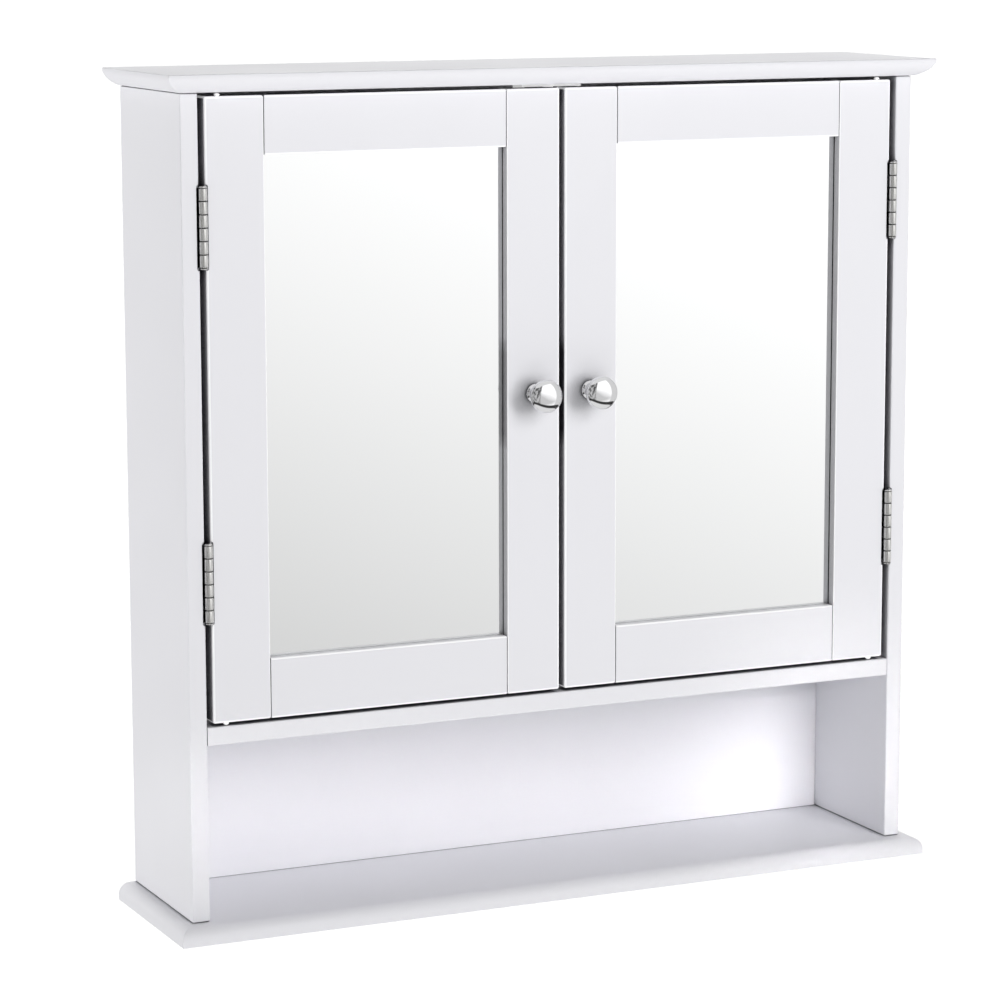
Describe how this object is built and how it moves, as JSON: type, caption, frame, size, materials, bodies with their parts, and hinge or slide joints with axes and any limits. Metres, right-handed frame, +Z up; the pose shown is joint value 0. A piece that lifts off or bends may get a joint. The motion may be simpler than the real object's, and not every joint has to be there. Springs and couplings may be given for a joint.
{
  "type": "hanging wall cabinet",
  "caption": "Shallow wall-hung cabinet with inset mirror doors on butt hinges above an open niche, under moulded overhanging top and bottom boards.",
  "frame": {"origin": "centre of the hang rail's rear face, on the wall plane", "axes": "+X to the right seen from the front, +Y back into the wall, +Z up"},
  "size_m": [0.56, 0.1397, 0.565],
  "materials": {
    "white_lacquer": "fibreboard under satin white lacquer",
    "mirror_glass": "clear float glass, silvered behind",
    "chrome": "polished",
    "nickel_steel": "nickel plated, satin",
    "zinc_steel": "zinc plated",
    "white_nylon": "moulded, satin",
    "ferrite": "ground ferrite, dark grey",
    "beech": "bare, fluted"
  },
  "bodies": {
    "cabinet": {"top_board": "white_lacquer", "bottom_board": "white_lacquer", "left_side": "white_lacquer", "right_side": "white_lacquer", "fixed_shelf": "white_lacquer", "back_panel": "white_lacquer", "hang_rail": "white_lacquer", "inner_shelf": "white_lacquer", "shelf_peg_left_front": "nickel_steel", "shelf_peg_left_rear": "nickel_steel", "keyhole_hanger_left": "zinc_steel", "cam_nut_left": "zinc_steel", "cam_bolt_left": "zinc_steel", "top_dowel_left": "beech", "bottom_screw_left_front": "zinc_steel", "bottom_screw_left_rear": "zinc_steel", "shelf_peg_right_front": "nickel_steel", "shelf_peg_right_rear": "nickel_steel", "keyhole_hanger_right": "zinc_steel", "cam_nut_right": "zinc_steel", "cam_bolt_right": "zinc_steel", "top_dowel_right": "beech", "bottom_screw_right_front": "zinc_steel", "bottom_screw_right_rear": "zinc_steel", "catch_housing": "white_nylon", "catch_magnet": "ferrite", "hinge_left_upper_frame_leaf": "nickel_steel", "hinge_left_upper_pin": "nickel_steel", "hinge_left_lower_frame_leaf": "nickel_steel", "hinge_left_lower_pin": "nickel_steel", "hinge_right_upper_frame_leaf": "nickel_steel", "hinge_right_upper_pin": "nickel_steel", "hinge_right_lower_frame_leaf": "nickel_steel", "hinge_right_lower_pin": "nickel_steel"},
    "left_door": {"door_left_hinge_stile": "white_lacquer", "door_left_meeting_stile": "white_lacquer", "door_left_top_rail": "white_lacquer", "door_left_bottom_rail": "white_lacquer", "door_left_backing_board": "white_lacquer", "door_left_mirror": "mirror_glass", "knob_left": "chrome", "knob_screw_left": "zinc_steel", "strike_plate_left": "nickel_steel", "spacer_button_left_top": "white_nylon", "spacer_button_left_bottom": "white_nylon", "hinge_left_upper_door_leaf": "nickel_steel", "hinge_left_lower_door_leaf": "nickel_steel"},
    "right_door": {"door_right_hinge_stile": "white_lacquer", "door_right_meeting_stile": "white_lacquer", "door_right_top_rail": "white_lacquer", "door_right_bottom_rail": "white_lacquer", "door_right_backing_board": "white_lacquer", "door_right_mirror": "mirror_glass", "knob_right": "chrome", "knob_screw_right": "zinc_steel", "strike_plate_right": "nickel_steel", "spacer_button_right_top": "white_nylon", "spacer_button_right_bottom": "white_nylon", "hinge_right_upper_door_leaf": "nickel_steel", "hinge_right_lower_door_leaf": "nickel_steel"}
  },
  "joints": [
    {"name": "left_door_hinge", "type": "hinge", "parent": "cabinet", "child": "left_door", "pos_m": [-0.25375, -0.1175, -0.18], "axis": [0, 0, -1], "range_deg": [0, 170]},
    {"name": "right_door_hinge", "type": "hinge", "parent": "cabinet", "child": "right_door", "pos_m": [0.25375, -0.1175, -0.18], "axis": [0, 0, 1], "range_deg": [0, 170]}
  ]
}
